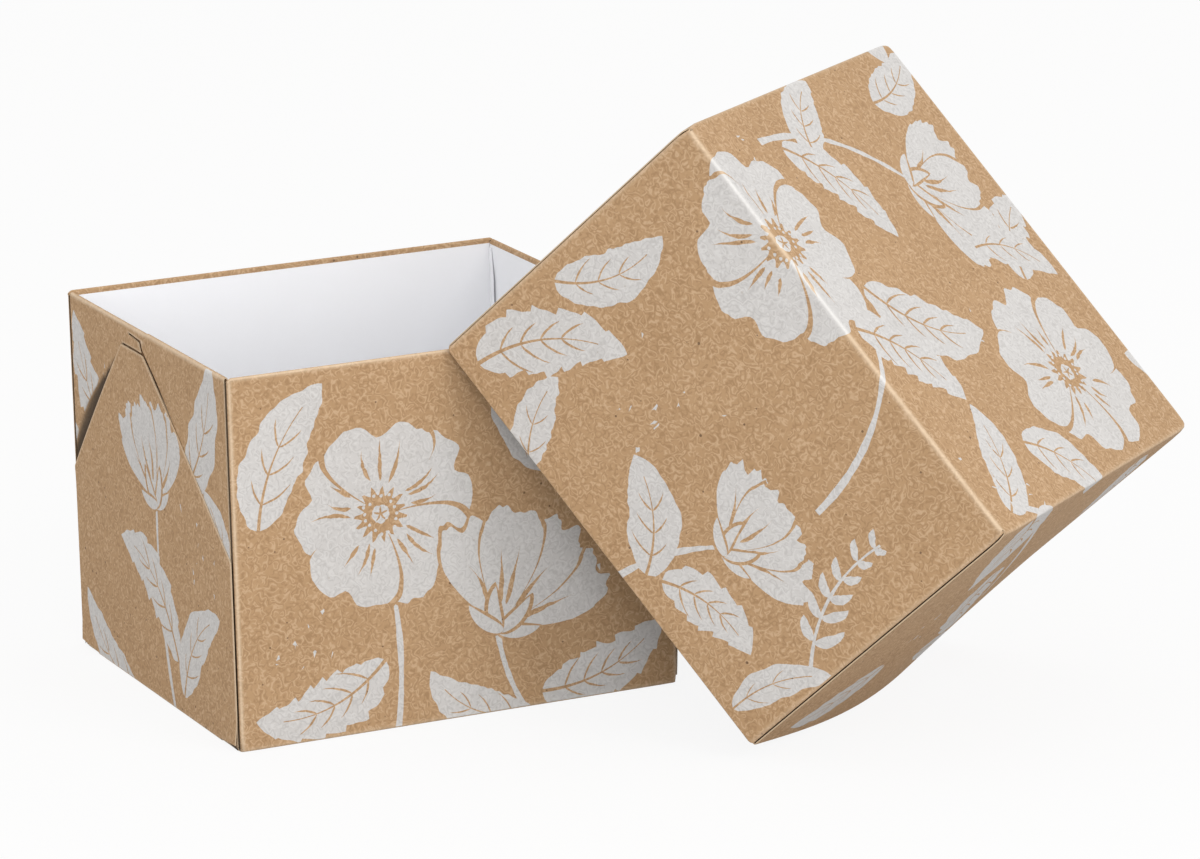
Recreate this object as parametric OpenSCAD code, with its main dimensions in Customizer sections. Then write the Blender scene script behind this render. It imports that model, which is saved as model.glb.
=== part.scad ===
// Cardboard gift box: an open base, and its deep lid taken off and leant on the base's rim.
// Each of the two is one printed board, cut, creased, folded and tucked.
// Millimetres, +Z up, origin at the middle of the base's underside, front wall towards -Y.

/* [Base] */
// Length of the base along its front wall, outside
base_w = 200; // [150:1:300]
// Depth of the base, outside
base_d = 180; // [130:1:280]
// Height of the base
base_h = 157; // [100:1:185]

/* [Lid] */
// Height of the lid, from its rim to its closed top
lid_h = 151; // [100:1:200]
// Gap between the base's outer face and the lid's inner face on each side
fit_gap = 0.4; // [0.2:0.1:2]
// How far the rim of the lid's lower end wall bows out at its middle
bow = 8.5; // [3:0.5:12]

/* [Board] */
// Thickness of the board
board_t = 0.5; // [0.3:0.05:0.6]
// Thickness of a rolled wall, from its outer face to its inner face
wall_t = 2; // [1.9:0.1:4]
// Outer radius of the folds between panels
fold_r = 1.2; // [1:0.1:1.8]
// Width of the open slit at each upright corner
slit_w = 1; // [0.6:0.1:2]
// Gap between the ends of two rims at a corner
notch_w = 0.5; // [0.3:0.1:1.5]
// Reach of the hidden corner flaps along the end walls
corner_flap_l = 45; // [15:1:55]

/* [End flaps of the base] */
// Height of the shoulders of an end flap
shoulder_h = 80; // [40:1:90]
// Distance from the base's rim down to the flap's short top edge
flap_drop = 12; // [10:1:40]
// Length of the flap's short top edge
flap_top_l = 26; // [12:1:40]
// Length of the clip at each lower corner of an end flap
clip_l = 20; // [8:1:40]
// Height of the clip at each lower corner of an end flap
clip_h = 3.5; // [2:0.5:8]
// Width of the sunk channel beside the flap's back shoulder, at its wide end
channel_w = 5; // [2:0.5:8]
// Height of the small tab above the flap
tab_h = 7; // [4:0.5:8]
// Width of the slits around the small tab
tab_slit_w = 0.6; // [0.4:0.1:0.9]

/* [How the lid leans] */
// Distance from the base's right end to the lid's upper rim corner
lean_in = 104; // [70:1:125]
// Turn of the lid about the upright axis
lean_turn = 53.5; // [46:0.5:58]
// Clearance between the lid and the base where the lid rests
lean_gap = 0.2; // [0.1:0.1:0.5]

/* [Hidden] */
$fn = 64;

// Small overlap that joins two layers of the same board
joint_eps = 0.05;
// How far a long wall's rim stops short of its upright folds
rim_back = 0.1;

rim_r = wall_t / 2;
lid_w = base_w + 2 * (fit_gap + wall_t);
lid_d = base_d + 2 * (fit_gap + wall_t);
flap_h = base_h - flap_drop;

// The lid stands on its bowed rim and rests on the base's rim, which sets how far it tips
tip = asin((base_h + lean_gap) / (lid_w - wall_t + bow));
lean_x = base_w / 2 - lean_in;
lean_y = -base_d / 2 - wall_t * cos(lean_turn) - lean_gap;
lean_z = base_h + lean_gap + rim_r + rim_r * (sin(tip) - cos(tip));

// Stations along the bowed rim, levels up the bowed wall and steps round its roll
bow_stations = 12;
bow_levels = 3;
roll_steps = 4;
// How the bow fades from the rim down to the fold: 1 is a straight lean
bow_power = 1.3;
// Straight strips at the bowed wall's foot: their height, how deep the bowed board reaches
// into them, and how much thinner it is there on each face
root_h = 3;
root_lap = 0.5;
foot_thinner = 0.1;
bow_foot = fold_r + root_h + root_lap;
// Gap between the lid's hidden corner flaps and the end panels over them, and the reach
// of the two flaps inside the bowed wall, which stop where it begins to bow
flap_gap = 0.1;
bowed_flap_l = 3;

kraft = "#b8946e";

// Upper half of a ring: the board rolled over at a rim, seen along the rim
module roll_section(r, t) {
    intersection() {
        difference() {
            circle(r = r);
            circle(r = r - t);
        }
        translate([-r, 0])
            square([2 * r, r]);
    }
}

// Quarter ring: the board turned through a right angle, centred on the fold's own centre
module fold_section(r, t) {
    intersection() {
        difference() {
            circle(r = r);
            circle(r = r - t);
        }
        translate([-r, -r])
            square([r, r]);
    }
}

// Section of one double wall: outer panel, roll at the rim, inner panel.
// The outer face is at x = 0, and y is the height.
module wall_section(h, foot) {
    translate([0, foot])
        square([board_t, h - rim_r - foot]);
    translate([rim_r, h - rim_r])
        roll_section(rim_r, board_t);
    translate([wall_t - board_t, board_t - joint_eps])
        square([board_t, h - rim_r - board_t + joint_eps]);
}

// Lays a section out along +X, with its outer face towards -Y
module along_x(l) {
    rotate([90, 0, 90])
        linear_extrude(height = l)
            children();
}

// Lays a section out along +Y, with its outer face towards -X
module along_y(l) {
    translate([0, l, 0])
        rotate([90, 0, 0])
            linear_extrude(height = l)
                children();
}

// Front wall of a tray of width w, depth d and height h, with its fold to the bottom
// panel and its two upright folds, which turn into flaps hidden in the end walls
module long_wall(w, d, h, skin, flap_l) {
    flap_top = h - rim_r - slit_w;
    fold_x = w / 2 - skin;
    translate([-fold_x + fold_r, -d / 2, 0])
        along_x(2 * (fold_x - fold_r))
            wall_section(h, fold_r);
    translate([-fold_x + rim_back, -d / 2, 0])
        along_x(2 * (fold_x - rim_back))
            translate([rim_r, h - rim_r])
                roll_section(rim_r, board_t);
    translate([-fold_x + fold_r, -d / 2, 0])
        along_x(2 * (fold_x - fold_r))
            translate([fold_r, fold_r])
                fold_section(fold_r, board_t);
    for (side = [0, 1])
        mirror([side, 0, 0])
            translate([-fold_x, -d / 2, fold_r]) {
                translate([fold_r, fold_r, 0])
                    linear_extrude(height = flap_top - fold_r)
                        fold_section(fold_r, board_t);
                translate([0, fold_r, 0])
                    cube([board_t, flap_l[side], flap_top - fold_r]);
            }
}

// Bottom panel, between the folds
module bottom_panel(w, d) {
    translate([-w / 2 + fold_r, -d / 2 + fold_r, 0])
        cube([w - 2 * fold_r, d - 2 * fold_r, board_t]);
}

// Rolled end wall at x = -w/2 + inset, between the two long walls.
// Its outer panel reaches to the slits, and its rim and inner panel stop at the notches.
module end_wall(w, d, h, inset, foot) {
    reach = d - 2 * slit_w;
    rim_l = d - 2 * (wall_t + notch_w);
    lining_l = d - 2 * (wall_t - board_t);
    translate([-w / 2 + inset, 0, 0]) {
        translate([0, -reach / 2, foot])
            cube([board_t, reach, h - rim_r - foot]);
        translate([rim_r, -rim_l / 2, h - rim_r])
            along_y(rim_l)
                roll_section(rim_r, board_t);
        translate([wall_t - board_t, -lining_l / 2, board_t - joint_eps])
            cube([board_t, lining_l, h - rim_r - board_t + joint_eps]);
    }
}

// Outline of the base's end flap, as (y, z): full width up to the shoulders, then
// narrowing to a short top edge that starts at the middle of the wall
function flap_outline(d) = [
    [-d / 2 + clip_l, fold_r],
    [-d / 2 + slit_w, fold_r + clip_h],
    [-d / 2 + slit_w, shoulder_h],
    [0, flap_h],
    [flap_top_l, flap_h],
    [d / 2 - slit_w, shoulder_h],
    [d / 2 - slit_w, fold_r + clip_h],
    [d / 2 - clip_l, fold_r]
];

// End flap that comes up from the bottom panel and lies over the end wall
module end_flap(w, d) {
    translate([-w / 2, 0, 0]) {
        rotate([90, 0, 90])
            linear_extrude(height = board_t)
                polygon(flap_outline(d));
        translate([fold_r, -d / 2 + clip_l, fold_r])
            along_y(d - 2 * clip_l)
                fold_section(fold_r, board_t);
    }
}

// Channel beside the flap's back shoulder, where the panel behind it dips inwards:
// narrow at the top, wide at the shoulder
module shoulder_channel(w, d) {
    translate([-w / 2 + board_t, 0, 0])
        rotate([90, 0, 90])
            linear_extrude(height = board_t)
                polygon([
                    [flap_top_l, flap_h],
                    [d / 2 - slit_w - joint_eps, shoulder_h],
                    [d / 2 - slit_w - joint_eps, shoulder_h + 2 * channel_w],
                    [flap_top_l + tab_slit_w, flap_h + tab_slit_w]
                ]);
}

// Slits that part the small tab above the flap from the rim and from the front panel
module tab_slits(w) {
    translate([-w / 2 + board_t, 0, flap_h]) {
        translate([0, -tab_slit_w, 0])
            cube([board_t, tab_slit_w, tab_h + tab_slit_w]);
        translate([0, 0, tab_h])
            cube([board_t, flap_top_l - 2 * wall_t, tab_slit_w]);
    }
}

// Base: tray with rolled walls, and end flaps that come up from the bottom over the ends
module base() {
    color(kraft)
        union() {
            bottom_panel(base_w, base_d);
            for (side = [0, 1])
                mirror([0, side, 0])
                    long_wall(base_w, base_d, base_h, 2 * board_t, [corner_flap_l, corner_flap_l]);
            for (side = [0, 1])
                mirror([side, 0, 0]) {
                    difference() {
                        end_wall(base_w, base_d, base_h, board_t, fold_r);
                        shoulder_channel(base_w, base_d);
                        tab_slits(base_w);
                    }
                    end_flap(base_w, base_d);
                }
        }
}

// How much of the bow is left at height z of a wall of height h
function bow_share(z, h) =
    pow(min(1, max(0, (z - bow_foot) / (h - rim_r - bow_foot))), bow_power);

// One skin of the bowed wall, as (x, z, reach along the rim): up the outer panel, over
// the rim and down the inner panel. Depth is 0 for the faces that show and board_t for
// those that face each other, and each foot is a little thinner than the strip it is in.
function bowed_skin(d, h, depth, thinner) =
    let (panel_reach = d / 2 - slit_w, rim_reach = d / 2 - wall_t - notch_w)
    let (panel_top = h - rim_r - slit_w, lining_foot = board_t + root_h)
    concat(
        [[depth + thinner, bow_foot - 2 * root_lap, panel_reach - root_lap]],
        [for (i = [0 : bow_levels])
            [depth, bow_foot + (panel_top - bow_foot) * i / bow_levels, panel_reach]],
        [for (i = [0 : roll_steps])
            [rim_r - (rim_r - depth) * cos(180 * i / roll_steps),
             h - rim_r + (rim_r - depth) * sin(180 * i / roll_steps),
             rim_reach]],
        [for (i = [bow_levels : -1 : 0])
            [wall_t - depth,
             lining_foot + root_lap + (panel_top - lining_foot - root_lap) * i / bow_levels,
             rim_reach]],
        [[wall_t - depth - thinner, lining_foot - root_lap, rim_reach - root_lap]]
    );

// Both skins as one closed outline
function bowed_outline(d, h) =
    let (inner = bowed_skin(d, h, board_t, -foot_thinner))
    concat(bowed_skin(d, h, 0, foot_thinner), [for (i = [len(inner) - 1 : -1 : 0]) inner[i]]);

// One triangle of the strip that closes the wall's end, between its two skins
function end_face(start, i, n, corner, far) =
    let (a = start + i, b = start + i + 1, c = start + n - 2 - i, e = start + n - 1 - i)
    let (face = corner == 0 ? [a, b, c] : [a, c, e])
    far == 0 ? face : [face[2], face[1], face[0]];

// Double end wall whose rim bows outwards, as one board swept along the rim.
// The outer face is towards -X, and the wall's two ends are straight.
module bowed_wall(w, d, h) {
    outline = bowed_outline(d, h);
    n = len(outline);
    points = [
        for (s = [0 : bow_stations])
            for (p = outline)
                [-w / 2 + p[0] - bow * sin(180 * s / bow_stations) * bow_share(p[1], h),
                 p[2] * (2 * s / bow_stations - 1),
                 p[1]]
    ];
    sides = [
        for (s = [0 : bow_stations - 1])
            for (i = [0 : n - 1])
                for (corner = [0, 1])
                    corner == 0
                        ? [(s + 1) * n + (i + 1) % n, s * n + (i + 1) % n, s * n + i]
                        : [(s + 1) * n + i, (s + 1) * n + (i + 1) % n, s * n + i]
    ];
    ends = [
        for (i = [0 : n / 2 - 2])
            for (corner = [0, 1])
                for (far = [0, 1])
                    end_face(bow_stations * n * far, i, n, corner, far)
    ];
    polyhedron(points = points, faces = concat(sides, ends), convexity = 6);
}

// Straight strips at the foot of the bowed wall's outer and inner panels
module bowed_wall_root(w, d) {
    reach = d - 2 * slit_w;
    lining_l = d - 2 * (wall_t - board_t);
    translate([-w / 2, -reach / 2, fold_r])
        cube([board_t, reach, root_h]);
    translate([-w / 2 + wall_t - board_t, -lining_l / 2, board_t - joint_eps])
        cube([board_t, lining_l, root_h + joint_eps]);
}

// Rounded fold between the bottom panel and an end wall's outer panel
module end_wall_fold(w, d) {
    reach = d - 2 * slit_w;
    translate([-w / 2 + fold_r, -reach / 2, fold_r])
        along_y(reach)
            fold_section(fold_r, board_t);
}

// Lid as a tray standing on its closed top: one straight end wall and one bowed one
module lid_tray() {
    bottom_panel(lid_w, lid_d);
    for (side = [0, 1])
        mirror([0, side, 0])
            long_wall(lid_w, lid_d, lid_h, board_t + flap_gap, [corner_flap_l, bowed_flap_l]);
    for (side = [0, 1])
        mirror([side, 0, 0])
            end_wall_fold(lid_w, lid_d);
    end_wall(lid_w, lid_d, lid_h, 0, fold_r);
    mirror([1, 0, 0]) {
        bowed_wall_root(lid_w, lid_d);
        bowed_wall(lid_w, lid_d, lid_h);
    }
}

// Lid, mouth down, with the corner of its mouth at the origin
module lid_upright() {
    translate([lid_w / 2, lid_d / 2, lid_h])
        rotate([180, 0, 0])
            lid_tray();
}

// Lid leant over the base's right front corner: its bowed rim is on the ground and the
// rim of its other end wall lies across the base's front and right rims
module lid() {
    color(kraft)
        translate([lean_x, lean_y, lean_z])
            rotate([0, tip, -lean_turn])
                lid_upright();
}

base();
lid();
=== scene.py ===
import bpy
import numpy as np
from mathutils import Matrix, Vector
from mathutils.geometry import delaunay_2d_cdt


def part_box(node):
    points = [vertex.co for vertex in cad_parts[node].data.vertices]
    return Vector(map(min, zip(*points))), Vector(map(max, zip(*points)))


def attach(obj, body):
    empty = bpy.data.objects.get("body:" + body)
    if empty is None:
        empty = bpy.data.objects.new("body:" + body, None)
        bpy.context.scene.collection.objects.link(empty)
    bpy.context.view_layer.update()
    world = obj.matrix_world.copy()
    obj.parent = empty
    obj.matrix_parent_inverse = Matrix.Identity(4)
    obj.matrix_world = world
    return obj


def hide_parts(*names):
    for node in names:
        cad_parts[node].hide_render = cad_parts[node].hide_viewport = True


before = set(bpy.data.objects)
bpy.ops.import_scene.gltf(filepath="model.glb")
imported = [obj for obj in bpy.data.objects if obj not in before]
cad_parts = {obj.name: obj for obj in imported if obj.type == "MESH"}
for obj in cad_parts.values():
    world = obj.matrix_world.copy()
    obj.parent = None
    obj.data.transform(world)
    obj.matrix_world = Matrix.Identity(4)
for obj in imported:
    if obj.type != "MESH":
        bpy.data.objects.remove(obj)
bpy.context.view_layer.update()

# The camera. A long lens, a little above the rims and turned to the box's left, so that
# the front wall, the left end and the white inside of the base all show.
mm = 0.001
camera_place = np.array([-953.9, -2262.0, 741.7])
camera_azimuth, camera_elevation, camera_roll = np.radians([-25.14, 14.65, -1.30])
back = np.array([
    np.sin(camera_azimuth) * np.cos(camera_elevation),
    -np.cos(camera_azimuth) * np.cos(camera_elevation),
    np.sin(camera_elevation),
])
level = np.cross(-back, [0, 0, 1])
level /= np.linalg.norm(level)
plumb = np.cross(-back, level)
right = np.cos(camera_roll) * level - np.sin(camera_roll) * plumb
down = np.sin(camera_roll) * level + np.cos(camera_roll) * plumb
pose = np.eye(4)
pose[:3, 0], pose[:3, 1], pose[:3, 2], pose[:3, 3] = right, -down, back, camera_place * mm
camera_data = bpy.data.cameras.new("camera")
camera_data.sensor_fit = "HORIZONTAL"
camera_data.sensor_width = 36.0
camera_data.lens = 180.0
camera_data.clip_end = 50.0
camera = bpy.data.objects.new("camera", camera_data)
camera.matrix_world = Matrix(pose.tolist())
bpy.context.collection.objects.link(camera)
bpy.context.scene.camera = camera
bpy.context.scene.view_settings.view_transform = "Standard"


# The studio. A pale floor that the camera sees as nearly white, three soft lamps, of which
# the key one stands high in front and to the right, and an even pale sky all round.
class Value:
    """A socket in a node tree. Expressions on it add Math nodes."""

    def __init__(self, tree, socket):
        self.tree, self.socket = tree, socket

    def math(self, operation, *others):
        places = {f"i{place}": item for place, item in enumerate((self,) + others)}
        return add_node(self.tree, "ShaderNodeMath", {"operation": operation}, **places)()

    def __add__(self, other): return self.math("ADD", other)
    def __radd__(self, other): return self.math("ADD", other)
    def __sub__(self, other): return self.math("SUBTRACT", other)
    def __rsub__(self, other): return constant(self.tree, other).math("SUBTRACT", self)
    def __mul__(self, other): return self.math("MULTIPLY", other)
    def __rmul__(self, other): return self.math("MULTIPLY", other)
    def __gt__(self, other): return self.math("GREATER_THAN", other)
    def __lt__(self, other): return self.math("LESS_THAN", other)

    def ramp(self, low, high):
        """0 at low, 1 at high and a smooth step between, for high below low too."""
        return add_node(self.tree, "ShaderNodeMapRange", {"interpolation_type": "SMOOTHSTEP"},
                        Value=self, From_Min=low, From_Max=high)("Result")


def constant(tree, number):
    """A plain number as the first term of an expression."""
    made = tree.nodes.new("ShaderNodeValue")
    made.outputs[0].default_value = number
    return Value(tree, made.outputs[0])


def plug(tree, socket, item):
    """Links a value to a socket, or writes a plain number or colour in it."""
    if isinstance(item, Value):
        tree.links.new(item.socket, socket)
    elif isinstance(item, (tuple, list)) and len(item) == 3 and socket.type == "RGBA":
        socket.default_value = (*item, 1.0)
    else:
        socket.default_value = item


def add_node(tree, kind, settings=None, **inputs):
    """One node: its settings first, then its sockets by name (_ for a space) or by place (i0).
    Called with the name or the place of an output, what it returns gives that output."""
    made = tree.nodes.new(kind)
    for name, item in (settings or {}).items():
        setattr(made, name, item)
    for name, item in inputs.items():
        key = int(name[1:]) if name[0] == "i" and name[1:].isdigit() else name.replace("_", " ")
        plug(tree, made.inputs[key], item)
    return lambda output=0: Value(tree, made.outputs[output])


def seen_plainly(tree):
    """1 for rays that the camera sends, straight, mirrored or through glass, and 0 for others."""
    paths = add_node(tree, "ShaderNodeLightPath")
    seen = paths("Is Camera Ray").math("MAXIMUM", paths("Is Glossy Ray"))
    return seen.math("MAXIMUM", paths("Is Transmission Ray"))


def new_material(name):
    """An empty node material, and its tree."""
    made = bpy.data.materials.new(name)
    made.use_nodes = True
    made.node_tree.nodes.clear()
    return made, made.node_tree


floor_half = 12.0
floor_mesh = bpy.data.meshes.new("floor")
floor_mesh.from_pydata(
    [(-floor_half, -floor_half, 0), (floor_half, -floor_half, 0),
     (floor_half, floor_half, 0), (-floor_half, floor_half, 0)], [], [(0, 1, 2, 3)])
floor = bpy.data.objects.new("floor", floor_mesh)
bpy.context.collection.objects.link(floor)

floor_white = 0.985
shadow_kept = 0.10
floor_bounce = 0.54
floor_paint = 0.97
floor_material, tree = new_material("pale_floor")
seen = seen_plainly(tree)
floor_colour = add_node(tree, "ShaderNodeMix", {"data_type": "RGBA"},
                        i0=seen, i6=(floor_bounce,) * 3, i7=(floor_paint,) * 3)
matte = add_node(tree, "ShaderNodeBsdfDiffuse", Color=floor_colour(2))
plain = add_node(tree, "ShaderNodeEmission", Color=(floor_white,) * 3, Strength=1.0)
floor_mix = add_node(tree, "ShaderNodeMixShader",
                     i0=seen * (1 - shadow_kept), i1=matte(), i2=plain())
add_node(tree, "ShaderNodeOutputMaterial", Surface=floor_mix())
floor_mesh.materials.append(floor_material)

sky_strength = 0.81
world = bpy.data.worlds.new("studio")
bpy.context.scene.world = world
world.use_nodes = True
tree = world.node_tree
tree.nodes.clear()
sky = add_node(tree, "ShaderNodeBackground", Color=(1.0, 0.99, 0.98), Strength=sky_strength)
white = add_node(tree, "ShaderNodeBackground", Color=(floor_white,) * 3, Strength=1.0)
sky_mix = add_node(tree, "ShaderNodeMixShader", i0=seen_plainly(tree), i1=sky(), i2=white())
add_node(tree, "ShaderNodeOutputWorld", Surface=sky_mix())


def soft_lamp(name, place, target, size, watts):
    """A square area lamp at one place, turned to face another."""
    data = bpy.data.lights.new(name, "AREA")
    data.size, data.energy = size, watts
    lamp = bpy.data.objects.new(name, data)
    away = np.array(place, float) - np.array(target, float)
    away /= np.linalg.norm(away)
    across = np.cross([0, 0, 1], away)
    across /= np.linalg.norm(across)
    turned = np.eye(4)
    turned[:3, 0], turned[:3, 1], turned[:3, 2] = across, np.cross(away, across), away
    turned[:3, 3] = place
    lamp.matrix_world = Matrix(turned.tolist())
    lamp.visible_camera = False
    bpy.context.collection.objects.link(lamp)


soft_lamp("key_lamp", (0.93, -1.95, 1.45), (0.03, -0.05, 0.1), 1.2, 13.1)
soft_lamp("front_lamp", (-0.60, -2.38, 0.73), (0.03, -0.05, 0.1), 1.0, 13.6)
soft_lamp("side_lamp", (-2.0, -1.0, 1.2), (0.0, 0.0, 0.1), 1.6, 6.0)

# The print. Each board is printed on one side before it is cut: large pale flowers,
# leaves and stems with brown inner lines, in flat matt ink on a brown ground.
BROWN, INK, BARE, CUT = 0, 1, 2, 3
draw = np.random.default_rng(20)


def ragged(count, size, slow=3, fast=9):
    """Offsets round a closed line: waves with random phases, smaller as they get faster."""
    turn = np.linspace(0, 2 * np.pi, count, endpoint=False)
    waves = np.arange(slow, fast * 3, 2)
    phases = draw.uniform(0, 2 * np.pi, len(waves))
    tall = draw.normal(0, 1, len(waves)) * (slow / waves) ** 0.9
    line = (tall[:, None] * np.sin(waves[:, None] * turn + phases[:, None])).sum(0)
    return size * line / max(np.abs(line).max(), 1e-9)


def spine(foot, tip, sag, share):
    """Points and left-hand directions along a bowed line, at these shares of it."""
    foot, tip = np.array(foot, float), np.array(tip, float)
    run = tip - foot
    side = np.array([-run[1], run[0]])
    place = foot + share[:, None] * run + (4 * sag * share * (1 - share))[:, None] * side
    along = run + (4 * sag * (1 - 2 * share))[:, None] * side
    along /= np.linalg.norm(along, axis=1, keepdims=True)
    return place, np.stack([-along[:, 1], along[:, 0]], axis=1)


def blade(foot, tip, width, sag=0.0, belly=0.4, rough=0.0, teeth=0):
    """A leaf's outline: half widths that swell to the belly and run out to the tip, on both
    sides of a bowed spine, with saw teeth that point to the tip and a ragged edge."""
    length = np.linalg.norm(np.subtract(tip, foot))
    count = int(np.clip(length / 1.1, 8, 110))
    share = np.linspace(0, 1, count)
    place, side = spine(foot, tip, sag, share)
    power = 0.75 / (1 - belly) * belly, 0.75
    half = share ** power[0] * (1 - share) ** power[1]
    half *= width / 2 / half.max()
    saw = 1 - 0.22 * ((share * teeth) % 1.0) if teeth else 1.0
    edge = ragged(2 * count, rough) if rough else np.zeros(2 * count)
    fade = np.minimum(1, 6 * half / max(width, 1e-9))
    left = place + (half * saw + edge[:count] * fade)[:, None] * side
    far = place - (half * saw + edge[count:][::-1] * fade)[:, None] * side
    return np.concatenate([left, far[-2:0:-1]])


def line(foot, tip, width, sag=0.0, belly=0.3):
    """A thin tapered stroke."""
    return blade(foot, tip, width, sag, belly, rough=width * 0.12)


def leaf(foot, tip, width, sag=0.0, teeth=0, ribs=3):
    """A leaf of ink with a brown midrib and short brown side ribs."""
    foot, tip = np.array(foot, float), np.array(tip, float)
    length = np.linalg.norm(tip - foot)
    shapes = [(INK, blade(foot, tip, width, sag, 0.42, rough=0.045 * width, teeth=teeth))]
    share = np.linspace(0.0, 0.82, 24)
    place, side = spine(foot, tip, sag, share)
    rib = np.clip(0.030 * width * (1 - share / 0.85), 0.22, None)[:, None]
    shapes.append((BROWN, np.concatenate([place + rib * side, (place - rib * side)[::-1]])))
    run = (tip - foot) / length
    for k in range(ribs):
        at, out = spine(foot, tip, sag, np.array([0.16 + 0.56 * k / max(ribs, 1)]))
        for hand in (1, -1):
            end = at[0] + run * length * 0.16 + hand * out[0] * width * (0.34 - 0.05 * k)
            shapes.append((BROWN, line(at[0], end, 0.034 * width, hand * 0.08)))
    return shapes


def petal(heart, angle, length, width, rough, cleft=0.0):
    """One petal: an egg with its narrow end at the flower's heart, a ragged outer edge and
    a cleft in it."""
    count = int(np.clip(length * 2.4, 30, 150))
    turn = np.linspace(0, 2 * np.pi, count, endpoint=False)
    along = 0.53 - 0.47 * np.cos(turn)
    across = np.sin(turn) * (along * 0.93 + 0.07) ** 0.62
    outer = np.clip((along - 0.45) / 0.4, 0, 1)
    notch = cleft * np.exp(-((turn - np.pi) / 0.16) ** 2)
    along = along + outer * (ragged(count, rough, 4, 12) - notch)
    cos, sin = np.cos(angle), np.sin(angle)
    x, y = along * length, across * width / 2 * (1 + 0.5 * outer * ragged(count, rough, 3, 8))
    return np.stack([heart[0] + cos * x - sin * y, heart[1] + sin * x + cos * y], axis=1)


def parted_petal(heart, angle, length, width, under_width, turn, rough, cleft):
    """A petal of ink on a larger brown one with the same ragged edge, turned a little, which
    parts it from the petals below it."""
    state = draw.bit_generator.state
    under = petal(heart, angle + turn, length * 1.05, under_width, rough, cleft)
    draw.bit_generator.state = state
    return [(BROWN, under), (INK, petal(heart, angle, length, width, rough, cleft))]


def disc(heart, radius, rough=0.0, spikes=0, depth=0.0):
    """A round patch with a ragged or spiked edge."""
    count = int(np.clip(radius * 9, 9, 120))
    turn = np.linspace(0, 2 * np.pi, count, endpoint=False)
    spiked = 1 + depth * np.abs(np.sin(spikes * turn / 2)) ** 3
    reach = radius * spiked + ragged(count, rough * radius)
    return np.stack([heart[0] + reach * np.cos(turn), heart[1] + reach * np.sin(turn)], axis=1)


def open_flower(heart, radius, turn, petals=5):
    """A flower seen from the front: overlapping petals parted by brown lines, brown pleats
    in them, and a brown heart with a pale pistil and a ring of pale stamens."""
    heart = np.array(heart, float)
    shapes = []
    for k in [2 * i % petals for i in range(petals)]:
        angle = turn + 2 * np.pi * k / petals + draw.uniform(-0.12, 0.12)
        length = radius * draw.uniform(0.90, 1.08)
        wide = 1.50 * radius * draw.uniform(0.9, 1.05) * np.sin(np.pi / petals) / np.sin(np.pi / 5)
        shapes += parted_petal(heart, angle, length, wide, wide * 1.08, 0.03, 0.035, 0.14)
        for bend in (-0.26, 0.02, 0.24):
            a = angle + bend + draw.uniform(-0.05, 0.05)
            way = np.array([np.cos(a), np.sin(a)])
            start, end = draw.uniform(0.30, 0.38), draw.uniform(0.55, 0.80)
            shapes.append((BROWN, line(heart + way * radius * end, heart + way * radius * start,
                                       0.042 * radius, draw.uniform(-0.12, 0.12), 0.7)))
    shapes.append((BROWN, disc(heart, 0.20 * radius, 0.10, 15, 0.45)))
    for k in range(16):
        a = turn + 2 * np.pi * (k + draw.uniform(-0.2, 0.2)) / 16
        at = heart + radius * draw.uniform(0.155, 0.215) * np.array([np.cos(a), np.sin(a)])
        shapes.append((INK, disc(at, 0.018 * radius, 0.15)))
    shapes.append((INK, disc(heart, 0.095 * radius, 0.12)))
    for k in range(5):
        a = turn + 2 * np.pi * k / 5
        way = np.array([np.cos(a), np.sin(a)])
        shapes.append((BROWN, line(heart, heart + way * 0.085 * radius, 0.022 * radius)))
    return shapes


def side_flower(foot, radius, turn, petals=4, spread=1.0):
    """A flower seen from the side: petals fanned up out of a small cup, parted by brown
    lines, with pointed sepals below."""
    foot = np.array(foot, float)
    shapes = []
    order = sorted(range(petals), key=lambda k: -abs(k - (petals - 1) / 2))
    for k in order:
        angle = turn + spread * (k - (petals - 1) / 2) / max(petals - 1, 1) * 1.5
        length = radius * draw.uniform(0.92, 1.08)
        shapes += parted_petal(foot, angle, length, radius * 0.74, radius * 0.80, 0, 0.05, 0.10)
        for bend in (-0.12, 0.13):
            way = np.array([np.cos(angle + bend), np.sin(angle + bend)])
            end = foot + way * radius * draw.uniform(0.6, 0.8)
            shapes.append((BROWN, line(end, foot + way * radius * 0.2,
                                       0.045 * radius, draw.uniform(-0.1, 0.1), 0.75)))
    for bend in (-1.25, -0.45, 0.5, 1.3):
        way = np.array([np.cos(turn + bend), np.sin(turn + bend)])
        for layer, long, wide in ((BROWN, 0.40, 0.17), (INK, 0.36, 0.11)):
            shapes.append((layer, blade(foot - 2 * way, foot + way * long * radius,
                                        wide * radius, 0.1 * np.sign(bend))))
    return shapes


def stem(foot, tip, width, sag=0.0):
    """A stem: a stroke of ink of nearly even width."""
    share = np.linspace(0, 1, 40)
    place, side = spine(foot, tip, sag, share)
    half = (width / 2 * (1 - 0.45 * share) + ragged(40, 0.10 * width, 2, 6))[:, None]
    return [(INK, np.concatenate([place + half * side, (place - half * side)[::-1]]))]


def sprig(foot, tip, sag, pairs, long, wide):
    """A stem with pairs of small leaves that get smaller to its tip."""
    shapes = stem(foot, tip, 1.6, sag)
    share = np.linspace(0.18, 0.96, pairs)
    place, side = spine(foot, tip, sag, share)
    run = np.subtract(tip, foot) / np.linalg.norm(np.subtract(tip, foot))
    for k in range(pairs):
        size = long * (1 - 0.55 * share[k])
        for hand in (1, -1):
            way = 0.75 * run + hand * 0.75 * side[k]
            start = place[k] + draw.uniform(-1, 1) * run
            shapes.append((INK, blade(start, start + way * size, wide * (1 - 0.4 * share[k]),
                                      hand * 0.12, 0.45, 0.25)))
    return shapes


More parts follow.
